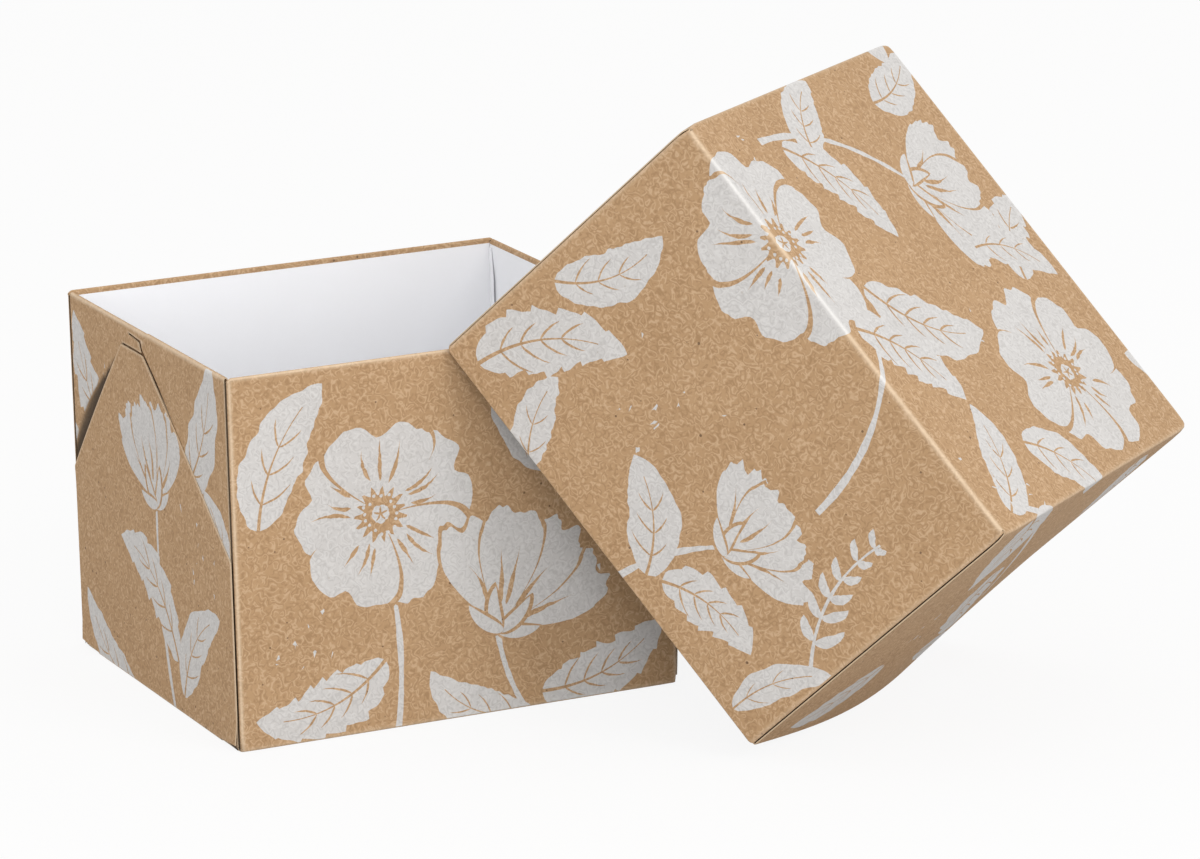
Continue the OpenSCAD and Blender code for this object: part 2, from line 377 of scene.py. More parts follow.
def flecks(middle, spread, count, size):
    """Loose chips of ink: small three and four sided scraps."""
    shapes = []
    for _ in range(count):
        at = np.array(middle) + draw.normal(0, 1, 2) * spread
        corners = draw.integers(3, 6)
        turn = np.sort(draw.uniform(0, 2 * np.pi, corners))
        reach = size * draw.uniform(0.3, 1.0, corners)
        ring = np.stack([reach * np.cos(turn), 1.6 * reach * np.sin(turn)], axis=1)
        shapes.append((INK, at + ring))
    return shapes


def on_panel(panel, *groups):
    """Carries shapes drawn on a panel, seen from outside, to the flat board. The panel is its
    origin there, and the board directions of its rightward and upward axes."""
    origin, across, up = panel
    axes = np.array([across, up], float)
    return [(layer, np.asarray(shape) @ axes + origin)
            for shapes in groups for layer, shape in shapes]


# The board: brown and matt with short curled fibres and dark specks in it, pale where a fold has
# stretched it with a painted highlight on it too, bare white where it isn't printed, cream at its
# cut edges, and nearly black with painted shade in its slits and gaps.
board_material, tree = new_material("printed_board")
spot = add_node(tree, "ShaderNodeTexCoord")("Object")


def attribute(name):
    """A value that the board's mesh carries under this name."""
    return add_node(tree, "ShaderNodeAttribute", {"attribute_name": name})("Fac")


def noise(scale, detail=2.0, rough=0.5, warp=0.0, four=0.0):
    """Soft noise on the board, with this many waves a metre. A fourth coordinate picks another."""
    made = add_node(tree, "ShaderNodeTexNoise", {"noise_dimensions": "4D"}, Vector=spot, W=four,
                    Scale=scale, Detail=detail, Roughness=rough, Distortion=warp)
    return made("Fac")


def blend(share, low, high):
    """Mixes two colours."""
    made = add_node(tree, "ShaderNodeMix", {"data_type": "RGBA"}, i0=share, i6=low, i7=high)
    return made(2)


def curls(spacing, sway, four):
    """Fine curled ridges and the furrows beside them: a sine wave across the board, whose
    phase a soft noise sways until its lines close into loops, broken by another noise."""
    across = add_node(tree, "ShaderNodeVectorMath", {"operation": "DOT_PRODUCT"},
                      i0=spot, i1=(0.62, 0.55, 0.56))(1)
    phase = across * (0.35 / spacing) + noise(0.62 / spacing, 0.8, 0.5, 0.5, four) * sway
    wave = (phase * (2 * np.pi)).math("SINE")
    broken = noise(0.8 / spacing, 1.0, 0.5, 0.0, four + 7.0).ramp(0.32, 0.50)
    return wave.ramp(0.50, 1.0) * broken, wave.ramp(-0.50, -1.0) * broken


layer = attribute("layer")
ink = (layer > 0.5) * (layer < 1.5)
bare = (layer > 1.5) * (layer < 2.5)
cut = layer > 2.5
# The attribute read here: its positive part is wear with a painted highlight along folds and cut
# edges, its negative part painted shade in slits and gaps, where the ink gives way to that painted
# shade.
fold = attribute("fold").math("MAXIMUM", 0.0)
painted_shade = (0 - attribute("fold")).math("MAXIMUM", 0.0)
ink = ink * painted_shade.ramp(0.5, 0.1)

light_fibre, dark_fibre = curls(0.0019, 4.2, 0.0)
mottle = noise(38.0, 4.0, 0.6, 0.0, 2.0)
grain = noise(1500.0, 2.0, 0.6, 0.0, 5.0)
cells = add_node(tree, "ShaderNodeTexVoronoi", {"feature": "F1"},
                 Vector=spot, Scale=260.0, Randomness=1.0)
speck_kept = add_node(tree, "ShaderNodeSeparateColor", Color=cells("Color"))
speck_size = speck_kept(1) * 0.16
speck = (speck_kept(0) > 0.86) * (cells("Distance") - speck_size).ramp(0.03, -0.02)

brown_low, brown_high = (0.448, 0.279, 0.146), (0.524, 0.335, 0.182)
brown = blend(mottle.ramp(0.25, 0.75) * 0.50 + grain * 0.50, brown_low, brown_high)
brown = blend(light_fibre * 0.50, brown, (0.70, 0.500, 0.325))
brown = blend(dark_fibre * 0.48, brown, (0.310, 0.180, 0.085))
brown = blend(speck * 0.75, brown, (0.10, 0.055, 0.030))
pale_low, pale_high = (0.608, 0.590, 0.574), (0.660, 0.643, 0.626)
pale = blend(mottle.ramp(0.3, 0.7) * 0.5 + grain * 0.5, pale_low, pale_high)
pale = blend(light_fibre * 0.60, pale, (0.730, 0.715, 0.700))
pale = blend(dark_fibre * 0.50, pale, (0.490, 0.472, 0.455))
pale = blend(speck * 0.30, pale, (0.36, 0.29, 0.22))
lining = blend(grain * 0.5 + mottle * 0.5, (0.930, 0.938, 0.962), (0.946, 0.954, 0.978))
edge = blend(grain, (0.70, 0.56, 0.40), (0.52, 0.38, 0.24))
# Wear with a painted highlight: the board paler along folds and cut edges.
worn_and_highlit = (fold * (0.55 + 0.9 * noise(90.0, 3.0, 0.6, 0.0, 9.0))).math("MINIMUM", 1.0)
brown = blend(worn_and_highlit * 0.70, brown, (0.86, 0.69, 0.50))
pale = blend(worn_and_highlit * 0.70, pale, (0.86, 0.84, 0.815))
colour = blend(ink, brown, pale)
colour = blend(bare, colour, lining)
colour = blend(cut, colour, edge)
# Painted shade: nearly black brown in slits and gaps, from the attribute's negative part.
colour = blend(painted_shade * 0.95, colour, (0.036, 0.021, 0.010))

waviness = noise(140.0, 3.0, 0.55, 0.0, 13.0)
height = light_fibre * 0.6 - dark_fibre * 0.5 + grain * 0.4 + waviness * 2.0
height = height * (1 - 0.75 * bare)
bump = add_node(tree, "ShaderNodeBump", Strength=0.35, Distance=0.00012, Height=height)
roughness = 0.72 + 0.12 * grain - 0.10 * ink - 0.06 * worn_and_highlit
shader = add_node(tree, "ShaderNodeBsdfPrincipled", Base_Color=colour, Roughness=roughness,
                  Normal=bump(), Specular_IOR_Level=0.32)
add_node(tree, "ShaderNodeOutputMaterial", Surface=shader())

# Folding. Both pieces are flat boards, cut out, creased and folded, so each is drawn flat
# in millimetres and then carried round its folds, which are rounded and not sharp.
board_t = 0.5
fold_r = 1.2
quarter = fold_r * np.pi / 2
rim_r = 1.0
step_r = 1.0
wall_t = 2 * rim_r
fold_steps = 6
rim_steps = 10


def wall_path(run, h):
    """The way a wall's board goes, by the distance along it from the bottom panel: a quarter
    turn up, the outer panel, half a turn over the rim and the inner panel down again.
    Returns how far inside the outer face and how high it is, and its facing (out, up)."""
    rise = h - rim_r - fold_r
    first = np.clip(run / fold_r, 0, np.pi / 2)
    second = np.clip((run - quarter - rise) / rim_r, 0, np.pi)
    inset = fold_r * (1 - np.sin(first)) + rim_r * (1 - np.cos(second))
    z = fold_r * (1 - np.cos(first)) + np.clip(run - quarter, 0, rise) + rim_r * np.sin(second)
    z -= np.clip(run - quarter - rise - np.pi * rim_r, 0, None)
    turned = first + second
    return inset, z, np.sin(turned), -np.cos(turned)


def run_to(z):
    """The distance along a wall's board at which its outer panel is at height z."""
    return quarter + z - fold_r


def rim_run(h):
    """The distances at which the rim's half turn starts and ends."""
    return run_to(h - rim_r), run_to(h - rim_r) + np.pi * rim_r


def lining_run(h):
    """The distance at which the lining ends, just off the bottom panel."""
    return rim_run(h)[1] + h - rim_r - board_t - 0.2


def corner_path(run, step_in):
    """The way a long wall's board turns at an upright corner into its hidden flap, by the
    distance past the start of the fold: a quarter turn, and where the flap lies deeper than
    the corner, two small arcs that step it in. Returns the way along, the way in, and the
    facing (along, out)."""
    turned = np.clip(run / fold_r, 0, np.pi / 2)
    arc = np.arccos(1 - step_in / (2 * step_r))
    past = (run - quarter) / step_r
    bent_in, bent_out = np.clip(past, 0, arc), np.clip(past - arc, 0, arc)
    along = fold_r * np.sin(turned)
    along -= step_r * (1 - np.cos(bent_in) + np.cos(arc - bent_out) - np.cos(arc))
    inward = fold_r * (1 - np.cos(turned))
    inward += step_r * (np.sin(bent_in) + np.sin(arc) - np.sin(arc - bent_out))
    inward += step_r * np.clip(past - 2 * arc, 0, None)
    heading = turned + bent_in - bent_out
    return along, inward, np.sin(heading), np.cos(heading)


def corner_skin(size, u, v):
    """How far inside the end's outer face each upright corner lies, by the signs of u and v."""
    skins = np.array(size["skins"])
    return skins[(np.asarray(v) > 0).astype(int), (np.asarray(u) > 0).astype(int)]


def corner_start(size, u, v):
    """How far along a long wall its corner fold starts."""
    return size["w"] / 2 - fold_r - corner_skin(size, u, v)


# How far up its foot fold a long wall's corner fold begins, and how far its rim dips there.
corner_foot, rim_dip = 0.94, 1.1


def fold_tray(u, v, size):
    """Carries points of a flat tray to their places: the bottom panel, a long wall on each
    side with flaps round its upright corners, and an end flap or end wall at each end."""
    w, d, h = size["w"], size["d"], size["h"]
    ub, vb = w / 2 - fold_r, d / 2 - fold_r
    su, sv = np.sign(u), np.sign(v)
    at_long = np.abs(v) > vb + 0.5
    at_end = (np.abs(u) > ub) & ~at_long
    run = np.where(at_end, np.abs(u) - ub, np.abs(v) - vb)
    inset, z, out, up = wall_path(np.clip(run, 0, None), h)
    place = np.stack([u, v, np.zeros_like(u)], axis=1)
    facing = np.stack([0 * u, 0 * u, -np.ones_like(u)], axis=1)

    start = corner_start(size, u, v)
    rim_start = rim_run(h)[0]
    past = np.where(at_long, np.clip(np.abs(u) - start, 0, None), 0)
    turn = (past > 0) & (run <= rim_start - 0.03) & (run > corner_foot - 0.04)
    step_in = size["plane"] - corner_skin(size, u, v)
    along, inward, face_along, face_out = corner_path(np.where(turn, past, 0), step_in)
    x = np.where(turn, start + along, np.abs(u))
    rounded = np.clip((np.abs(u) - start + 0.9) / (fold_r + 0.8), 0, 1) ** 2 * at_long
    z = z - rim_dip * np.where(run > rim_start - 0.02, rounded, 0)
    edge = np.abs(v) > vb
    place[:, 0] = np.where(edge, su * x, place[:, 0])
    place[:, 1] = np.where(edge, sv * (d / 2 - inset - inward), place[:, 1])
    place[:, 2] = np.where(edge, z, place[:, 2])
    facing[:, 0] = np.where(edge, su * face_along * out, 0)
    facing[:, 1] = np.where(edge, sv * face_out * out, 0)
    facing[:, 2] = np.where(edge, up, -1)

    place[at_end] = np.stack([su * (w / 2 - inset), v, z], axis=1)[at_end]
    facing[at_end] = np.stack([su * out, 0 * u, up], axis=1)[at_end]
    return place, facing


def inside(points, loop):
    """Which points lie inside a closed line, by counting the sides that a ray crosses."""
    ax, ay = loop[:, 0], loop[:, 1]
    bx, by = np.roll(ax, -1), np.roll(ay, -1)
    px, py = points[:, :1], points[:, 1:]
    spans = (ay > py) != (by > py)
    with np.errstate(divide="ignore", invalid="ignore"):
        cross = ax + (py - ay) * (bx - ax) / (by - ay)
    return (spans & (px < cross)).sum(axis=1) % 2 == 1


def divided(loop, longest):
    """A closed line with points added, so that no side of it is longer than this."""
    sides = np.roll(loop, -1, axis=0) - loop
    counts = np.maximum(1, np.ceil(np.linalg.norm(sides, axis=1) / longest)).astype(int)
    owner = np.repeat(np.arange(len(loop)), counts)
    share = (np.arange(counts.sum()) - (np.cumsum(counts) - counts)[owner]) / counts[owner]
    return loop[owner] + share[:, None] * sides[owner]


def cut_board(outline, holes, print_shapes, creases, spacing=6.0):
    """Cuts a flat board into triangles that follow its outline, its creases and every edge
    of its print. Returns the points, the triangles and each triangle's layer."""
    loops = [divided(np.asarray(loop, float), spacing) for loop in [outline] + holes]
    low, high = loops[0].min(0) - 1, loops[0].max(0) + 1
    shapes = [(layer, divided(s, spacing)) for layer, s in print_shapes
              if (s.min(0) < high).all() and (s.max(0) > low).all()]
    points, edges, used = [], [], 0
    for loop in loops + [s for _, s in shapes]:
        count = len(loop)
        index = np.arange(count) + used
        points.append(loop)
        edges.append(np.stack([index, np.roll(index, -1)], axis=1))
        used += count
    for a, b in creases:
        length = np.linalg.norm(np.subtract(b, a))
        count = max(2, int(length / spacing) + 1)
        share = np.linspace(0, 1, count)[:, None]
        points.append(np.asarray(a) * (1 - share) + np.asarray(b) * share)
        index = np.arange(count) + used
        edges.append(np.stack([index[:-1], index[1:]], axis=1))
        used += count
    # The loose points keep off the round numbers that the outlines lie on.
    gu, gv = np.meshgrid(np.arange(low[0], high[0], spacing) + 0.37,
                         np.arange(low[1], high[1], spacing) + 0.41)
    points.append(np.stack([gu.ravel(), gv.ravel()], axis=1))
    points = np.concatenate(points)
    edges = np.concatenate(edges)
    made = delaunay_2d_cdt(points.tolist(), edges.tolist(), [], 0, 1e-4)
    flat = np.array([tuple(p) for p in made[0]])
    triangles = np.array(made[2], int)
    a, b, c = (flat[triangles[:, k]] for k in range(3))
    area = (b[:, 0] - a[:, 0]) * (c[:, 1] - a[:, 1]) - (c[:, 0] - a[:, 0]) * (b[:, 1] - a[:, 1])
    triangles[area < 0] = triangles[area < 0][:, ::-1]
    triangles = triangles[np.abs(area) > 1e-7]
    centre = flat[triangles].mean(axis=1)
    kept = inside(centre, loops[0])
    for hole in loops[1:]:
        kept &= ~inside(centre, hole)
    triangles, centre = triangles[kept], centre[kept]
    layers = np.zeros(len(triangles))
    for layer, shape in shapes:
        near = ((centre > shape.min(0)) & (centre < shape.max(0))).all(axis=1)
        rows = np.flatnonzero(near)
        layers[rows[inside(centre[rows], shape)]] = layer
    used_points, triangles = np.unique(triangles, return_inverse=True)
    return flat[used_points], triangles.reshape(-1, 3), layers


def bent(place, facing, field):
    """Moves points by a smooth field of displacements and turns their facings to match."""
    step = 0.05
    moved = place + field(place)
    change = np.stack([(field(place + step * axis) - field(place - step * axis)) / (2 * step)
                       for axis in np.eye(3)], axis=1)
    turned = facing - np.einsum("nij,nj->ni", change, facing)
    return moved, turned / np.linalg.norm(turned, axis=1, keepdims=True)


class Board:
    """The sheets of one folded piece, gathered into one mesh."""

    def __init__(self):
        self.points, self.faces, self.normals, self.layers, self.folds = [], [], [], [], []
        self.count = 0

    def add(self, triangles, layers, place, facing, folds, backs, edge=CUT):
        """Adds a folded sheet: its printed face, its back and its cut edges."""
        n = len(place)
        inner = place - board_t * facing
        sides = np.concatenate([triangles[:, [0, 1]], triangles[:, [1, 2]], triangles[:, [2, 0]]])
        key = np.sort(sides, axis=1)
        _, first, uses = np.unique(key, axis=0, return_index=True, return_counts=True)
        rim = sides[first[uses == 1]]
        printed, under = triangles[:, ::-1], triangles + n
        wall_a = np.stack([rim[:, 0], rim[:, 1], rim[:, 1] + n], axis=1)
        wall_b = np.stack([rim[:, 0], rim[:, 1] + n, rim[:, 0] + n], axis=1)
        both = np.concatenate([place, inner])
        faces = np.concatenate([printed, under, wall_a, wall_b])
        corner = both[faces]
        flat_normal = np.cross(corner[:, 1] - corner[:, 0], corner[:, 2] - corner[:, 0])
        flat_normal /= np.maximum(np.linalg.norm(flat_normal, axis=1, keepdims=True), 1e-12)
        normals = np.repeat(flat_normal[:, None], 3, axis=1)
        m = len(triangles)
        normals[:m] = facing[printed]
        normals[m:2 * m] = -facing[triangles]
        self.points.append(both)
        self.faces.append(faces + self.count)
        self.normals.append(normals.reshape(-1, 3))
        self.layers.append(np.concatenate([layers, backs, np.full(2 * len(rim), float(edge))]))
        self.folds.append(np.concatenate([folds, 0 * folds]))
        self.count += 2 * n

    def build(self, name, material, placed=None):
        """Makes the object, in metres, with its layers, and its wear with painted highlight and
        painted shade, as attributes.
        """
        points, faces = np.concatenate(self.points), np.concatenate(self.faces)
        normals = np.concatenate(self.normals)
        if placed is not None:
            points = points @ placed[0].T + placed[1]
            normals = normals @ placed[0].T
        mesh = bpy.data.meshes.new(name)
        mesh.vertices.add(len(points))
        mesh.vertices.foreach_set("co", (points * mm).ravel())
        mesh.loops.add(faces.size)
        mesh.loops.foreach_set("vertex_index", faces.ravel())
        mesh.polygons.add(len(faces))
        mesh.polygons.foreach_set("loop_start", np.arange(0, faces.size, 3))
        mesh.update(calc_edges=True)
        layer_values = mesh.attributes.new("layer", "FLOAT", "FACE")
        layer_values.data.foreach_set("value", np.concatenate(self.layers))
        fold_values = mesh.attributes.new("fold", "FLOAT", "POINT")
        fold_values.data.foreach_set("value", np.concatenate(self.folds))
        mesh.polygons.foreach_set("use_smooth", np.ones(len(faces), bool))
        mesh.normals_split_custom_set(normals.tolist())
        mesh.materials.append(material)
        piece = bpy.data.objects.new(name, mesh)
        bpy.context.collection.objects.link(piece)
        return piece


def fold_glow(distance, width=0.9, strength=1.0):
    """How worn the board is beside a fold's middle line, with a painted highlight there: 1 on it,
    fading to both sides.
    """
    return strength * np.exp(-(distance / width) ** 2)


# The base: a tray of one board. Its long walls turn in at the corners, and an end flap with
# sloping shoulders comes up from the bottom over each end wall and is glued there.
low, high = (np.array(corner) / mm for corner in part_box("base"))
base_w, base_d, base_h = high - low
slit_w = 1.0
# How far a rim stops short of the corner, how far below it the corner's curl ends, and how
# strongly shade is painted on the hidden flaps, which show dark in the corner slits.
rim_back, curl_clear, hidden_painted_shade = 0.1, 0.06, 0.96
flap_top_h, shoulder_h, flap_top_l, flap_top_front = 147.0, 80.0, 26.0, -1.3
flap_reach = {1: base_d / 2 - 1.4, -1: base_d / 2 - 1.8}
clip_l, clip_h = 20.0, 1.5
hidden_flap = 12.0


def strips(low_run, turn, steps):
    """Crease positions round a fold: its start, its end and the steps between."""
    return low_run + turn * np.arange(steps + 1) / steps


base = {"w": base_w, "d": base_d, "h": base_h, "flap_top": base_h - rim_r - slit_w,
        "skins": ((1.15, 1.15), (0.35, 0.35)), "plane": 1.15}
ub, vb = base_w / 2 - fold_r, base_d / 2 - fold_r
rim_a, rim_b = rim_run(base_h)
lining_end = lining_run(base_h)


def wall_outline(size, end, side, end_lining):
    """A long wall's part of the quarter outline: its foot, the hidden flap round the upright
    corner, the rim and the lining. The corner's curl runs right up to the rim."""
    w, d, h = size["w"], size["d"], size["h"]
    vb = d / 2 - fold_r
    start = float(corner_start(size, end, side))
    rim_a, rim_b = rim_run(h)
    flap_run = vb + run_to(size["flap_top"])
    curl = start + quarter + 0.5
    reach = start + quarter + hidden_flap + 2
    return [(start, vb), (start, vb + corner_foot), (curl, vb + corner_foot),
            (curl + 0.6, vb + quarter + 0.6), (reach, vb + quarter + 1.6), (reach, flap_run),
            (curl, flap_run), (curl, vb + rim_a - curl_clear), (start, vb + rim_a - curl_clear),
            (start, vb + rim_a), (start + fold_r - rim_back, vb + rim_a),
            (start + fold_r - rim_back, vb + rim_b), (w / 2 - end_lining, vb + rim_b),
            (w / 2 - end_lining, vb + lining_run(h))]


def base_quadrant(end, side):
    """A quarter of the base's flat outline, from the end flap round to the long wall's lining."""
    top_half = flap_top_l if side > 0 else flap_top_front
    reach, foot = flap_reach[side], base_d / 2 - clip_l
    flap = [(ub + run_to(flap_top_h), top_half), (ub + run_to(shoulder_h), reach),
            (ub + run_to(fold_r + 14.0), reach), (ub + run_to(fold_r + clip_h), reach - 0.9),
            (ub + run_to(fold_r), foot), (ub, foot), (ub, vb)]
    return np.array(flap + wall_outline(base, end, side, 2.65))


def four_quarters(quadrant):
    """Joins the quarters of the four corners into one closed outline."""
    return np.concatenate([quadrant(1, 1), (quadrant(-1, 1) * [-1, 1])[::-1],
                           quadrant(-1, -1) * [-1, -1], (quadrant(1, -1) * [1, -1])[::-1]])


def tray_creases(size, end_reach, end_rim=0.0):
    """Every line that a tray's board needs for its folds and for the worn strips beside them."""
    w, d, h = size["w"], size["d"], size["h"]
    ub, vb = w / 2 - fold_r, d / 2 - fold_r
    rim_a, rim_b = rim_run(h)
    foot = np.concatenate([strips(0, quarter, fold_steps),
                           [-2.5, -1.0, quarter + 1.0, quarter + 2.5]])
    rolled = strips(rim_a, np.pi * rim_r, rim_steps)
    found = []
    for side in (-1, 1):
        starts = {end: float(corner_start(size, end, side)) for end in (-1, 1)}
        for v in np.concatenate([foot, rolled, [rim_a - 2.5, rim_a - 1.0, rim_b + 1.2]]):
            more = fold_r - rim_back if v >= rim_a else 0
            found.append(((-starts[-1] - more, side * (vb + v)),
                          (starts[1] + more, side * (vb + v))))
        for end in (-1, 1):
            step_in = size["plane"] - float(corner_skin(size, end, side))
            arc = np.arccos(1 - step_in / (2 * step_r))
            turns = np.concatenate([
                strips(0, quarter, fold_steps), [-2.5, -1.0, quarter + 0.5, quarter + 1.0],
                quarter + step_r * arc * np.array([0.5, 1.0, 1.5, 2.0]) * (arc > 0)])
            upright = [(u, corner_foot, rim_a - curl_clear) for u in np.unique(turns)]
            upright += [(u, rim_a, rim_b) for u in (-0.9, -0.4, 0.4, 0.8)]
            found += [((end * (starts[end] + u), side * (vb + low)),
                       (end * (starts[end] + u), side * (vb + high))) for u, low, high in upright]
    for end in (-1, 1):
        across = [(u, end_reach) for u in foot]
        if end_rim:
            across += [(u, end_rim) for u in np.concatenate([rolled, [rim_a - 1.0, rim_b + 1.2]])]
        found += [((end * (ub + u), -reach), (end * (ub + u), reach)) for u, reach in across]
    return found


def rectangle(u0, u1, v0, v1):
    """A plain rectangle on the flat board."""
    return np.array([(u0, v0), (u1, v0), (u1, v1), (u0, v1)], float)


mirrored = (-1, 1)


def strip(layer, us, vs, ends=(1,), sides=(1,)):
    """A plain strip of one layer, repeated by these signs of its u and of its v."""
    return [(layer, rectangle(a * us[0], a * us[1], s * vs[0], s * vs[1]))
            for a in ends for s in sides]


def tray_wear_and_painted_light(flat, size, wear_highlight_strengths):
    """How worn each point of a tray's board is, with a painted highlight, from its distance to
    every fold, and the painted shade on its hidden flaps, as negative values. The strengths come as
    front foot, rear foot, rims, upright corners, end feet and end rims."""
    w, d = size["w"], size["d"]
    ub, vb = w / 2 - fold_r, d / 2 - fold_r
    start = corner_start(size, flat[:, 0], flat[:, 1])
    u, v = np.abs(flat[:, 0]), np.abs(flat[:, 1])
    rim_a = rim_run(size["h"])[0]
    foot = np.where(flat[:, 1] < 0, wear_highlight_strengths[0], wear_highlight_strengths[1])
    upright = (v > vb + 0.5) & (v < vb + rim_a)
    worn_and_highlit = np.max([
        fold_glow(v - vb - quarter / 2, 1.3) * foot * (u <= start + 0.01),
        wear_highlight_strengths[2] * fold_glow(v - vb - rim_a - 0.7, 0.8) * (u <= w / 2),
        wear_highlight_strengths[3] * fold_glow(u - start - 0.3 * quarter, 0.8) * upright,
        wear_highlight_strengths[3] * fold_glow(np.hypot(u - start, v - vb - corner_foot), 1.1),
        wear_highlight_strengths[4] * fold_glow(u - ub - quarter / 2) * (v <= vb + 0.01),
        wear_highlight_strengths[5] * fold_glow(u - ub - rim_a - 0.9, 0.8) * (v <= vb)], axis=0)
    # Painted shade on the hidden flaps, which show in the corner slits.
    hidden = (u > start + quarter + 0.2) & upright
    return np.where(hidden, -hidden_painted_shade, worn_and_highlit)


def from_line(points, a, b):
    """Each point's distance from a straight stretch between two points."""
    run = np.subtract(b, a)
    share = np.clip(((points - a) @ run) / (run @ run), 0, 1)
    return np.linalg.norm(points - a - share[:, None] * run, axis=1)


def beside(a, b, towards, offsets):
    """Creases parallel to the line from a to b, at these distances from it towards a point."""
    run = np.subtract(b, a) / np.linalg.norm(np.subtract(b, a))
    across = np.array([-run[1], run[0]])
    across *= np.sign(across @ np.subtract(towards, a))
    return [(np.array(a) + k * across, np.array(b) + k * across) for k in offsets]


def blunted(place, size, deep, wide):
    """Presses the folded corners in a little: each point near one moves towards the middle of
    the foot, by a bell curve of its distance."""
    w, d = size["w"], size["d"]
    corners = np.array([(x, y, 0) for x in (-w / 2, w / 2) for y in (-d / 2, d / 2)])
    middle = corners.mean(axis=0)
    for corner in corners:
        near = np.exp(-(np.linalg.norm(place - corner, axis=1) / wide) ** 2)
        place = place + deep * near[:, None] * (middle - corner) / np.linalg.norm(middle - corner)
    return place


def tray_backs(flat, triangles, size):
    """The board's back: white on the inside of the bottom, brown inside the walls."""
    centre = np.abs(flat[triangles].mean(axis=1))
    lined = (centre[:, 0] < size["w"] / 2 - fold_r) & (centre[:, 1] < size["d"] / 2 - fold_r)
    return np.where(lined, float(BARE), float(BROWN))


# The base's panels, as they lie on its flat board: each one's origin, and its rightward and
# upward axes as seen from outside.
base_front = (0, -(vb + quarter - fold_r)), (1, 0), (0, -1)
base_rear = (0, vb + quarter - fold_r), (-1, 0), (0, 1)
base_left = (-(ub + quarter - fold_r), 0), (0, -1), (-1, 0)
base_right = (ub + quarter - fold_r, 0), (0, 1), (1, 0)

base_print = on_panel(
    base_front,
    stem((-36, -30), (-30, 62), 3.4, -0.06), leaf((-88, 92), (-58, 150), 26, 0.10, 0, 3),
    leaf((-34, 30), (-92, 12), 27, 0.14, 7, 4), open_flower((-34, 92), 41, 0.35),
    stem((44, -20), (16, 44), 3.2, 0.10), side_flower((18, 36), 50, 1.15, 4, 1.0),
    leaf((36, 6), (92, 30), 26, -0.12, 6, 4), leaf((32, -2), (-14, 22), 20, 0.16, 0, 3),
    leaf((24, 150), (52, 96), 22, -0.12, 0, 3), sprig((96, 56), (64, 120), 0.12, 6, 15, 5),
    flecks((-66, 44), 9, 9, 1.6), flecks((70, 66), 12, 12, 1.5)
) + on_panel(
    base_rear,
    open_flower((40, 84), 40, 0.9), stem((58, -24), (46, 50), 3.4, 0.06),
    leaf((52, 14), (6, 44), 26, -0.14, 6, 4), leaf((60, 6), (96, 52), 24, 0.1, 0, 3),
    side_flower((-44, 60), 46, 1.9, 4, 1.0), stem((-30, -24), (-43, 62), 3.2, -0.1),
    leaf((-36, 20), (-90, 46), 26, 0.14, 7, 4), leaf((-34, 4), (2, 24), 17, 0.1, 0, 2),
    sprig((-8, 100), (-22, 152), 0.1, 6, 15, 5), leaf((84, 120), (60, 158), 22, 0.1, 0, 3),
    leaf((-84, 128), (-60, 170), 26, 0.1, 0, 3), flecks((10, 70), 10, 10, 1.6),
    flecks((-80, 100), 9, 9, 1.5)
) + on_panel(
    base_left,
    stem((34, -30), (8, 92), 3.2, 0.08), leaf((26, 22), (-36, 62), 27, -0.16, 6, 4),
    leaf((31, 8), (74, 52), 22, 0.14, 0, 3), side_flower((7, 86), 46, 1.72, 4, 0.9),
    leaf((-20, -6), (-80, 28), 22, 0.14, 0, 3), flecks((52, 78), 9, 9, 1.5)
) + on_panel(
    base_right,
    stem((-20, -30), (4, 60), 3.2, -0.08), open_flower((8, 78), 36, 0.1),
    leaf((-16, 10), (-74, 40), 26, 0.14, 7, 4), leaf((-12, 0), (46, 26), 24, -0.14, 0, 3),
    flecks((-44, 70), 9, 9, 1.5)) + (
    leaf((-30, 10), (52, 44), 34, 0.1, 8, 5)
    + leaf((10, -20), (-60, -48), 30, 0.12, 0, 4))

long = base_w / 2 - fold_r - 0.35
brown_strips = (
    strip(BROWN, (-long, long), (vb - 1.0, vb + quarter * 0.7), sides=mirrored)
    + strip(BROWN, (-long - 2, long + 2), (vb + rim_a + 1.3, vb + rim_b + 1.4), sides=mirrored)
    + strip(BROWN, (long - 0.33, long + 30), (vb + 0.5, vb + rim_a - curl_clear),
            mirrored, mirrored)
    + strip(BROWN, (ub - 1.0, ub + quarter * 0.8), (-vb - 1, vb + 1), ends=mirrored))
linings = strip(BARE, (-base_w, base_w), (vb + rim_b + 1.2, vb + lining_end + 9), sides=mirrored)

base_board = Board()
flap_edges = [((ub + run_to(a), b), (ub + run_to(c), d)) for a, b, c, d in (
    (flap_top_h, flap_top_l, flap_top_h, -flap_top_front),
    (flap_top_h, flap_top_l, shoulder_h, flap_reach[1]),
    (flap_top_h, -flap_top_front, shoulder_h, -flap_reach[-1]),
    (shoulder_h, -flap_reach[-1], 16.0, -flap_reach[-1]))]
flap_creases = [((s * a[0], a[1]), (s * b[0], b[1])) for s in (-1, 1) for edge in flap_edges
                for a, b in beside(*edge, (ub + 60, 0), (0.5, 1.1))]
flat, triangles, layers = cut_board(
    four_quarters(base_quadrant), [], base_print + brown_strips + linings,
    tray_creases(base, base_d / 2 - clip_l) + flap_creases)
place, facing = fold_tray(flat[:, 0], flat[:, 1], base)


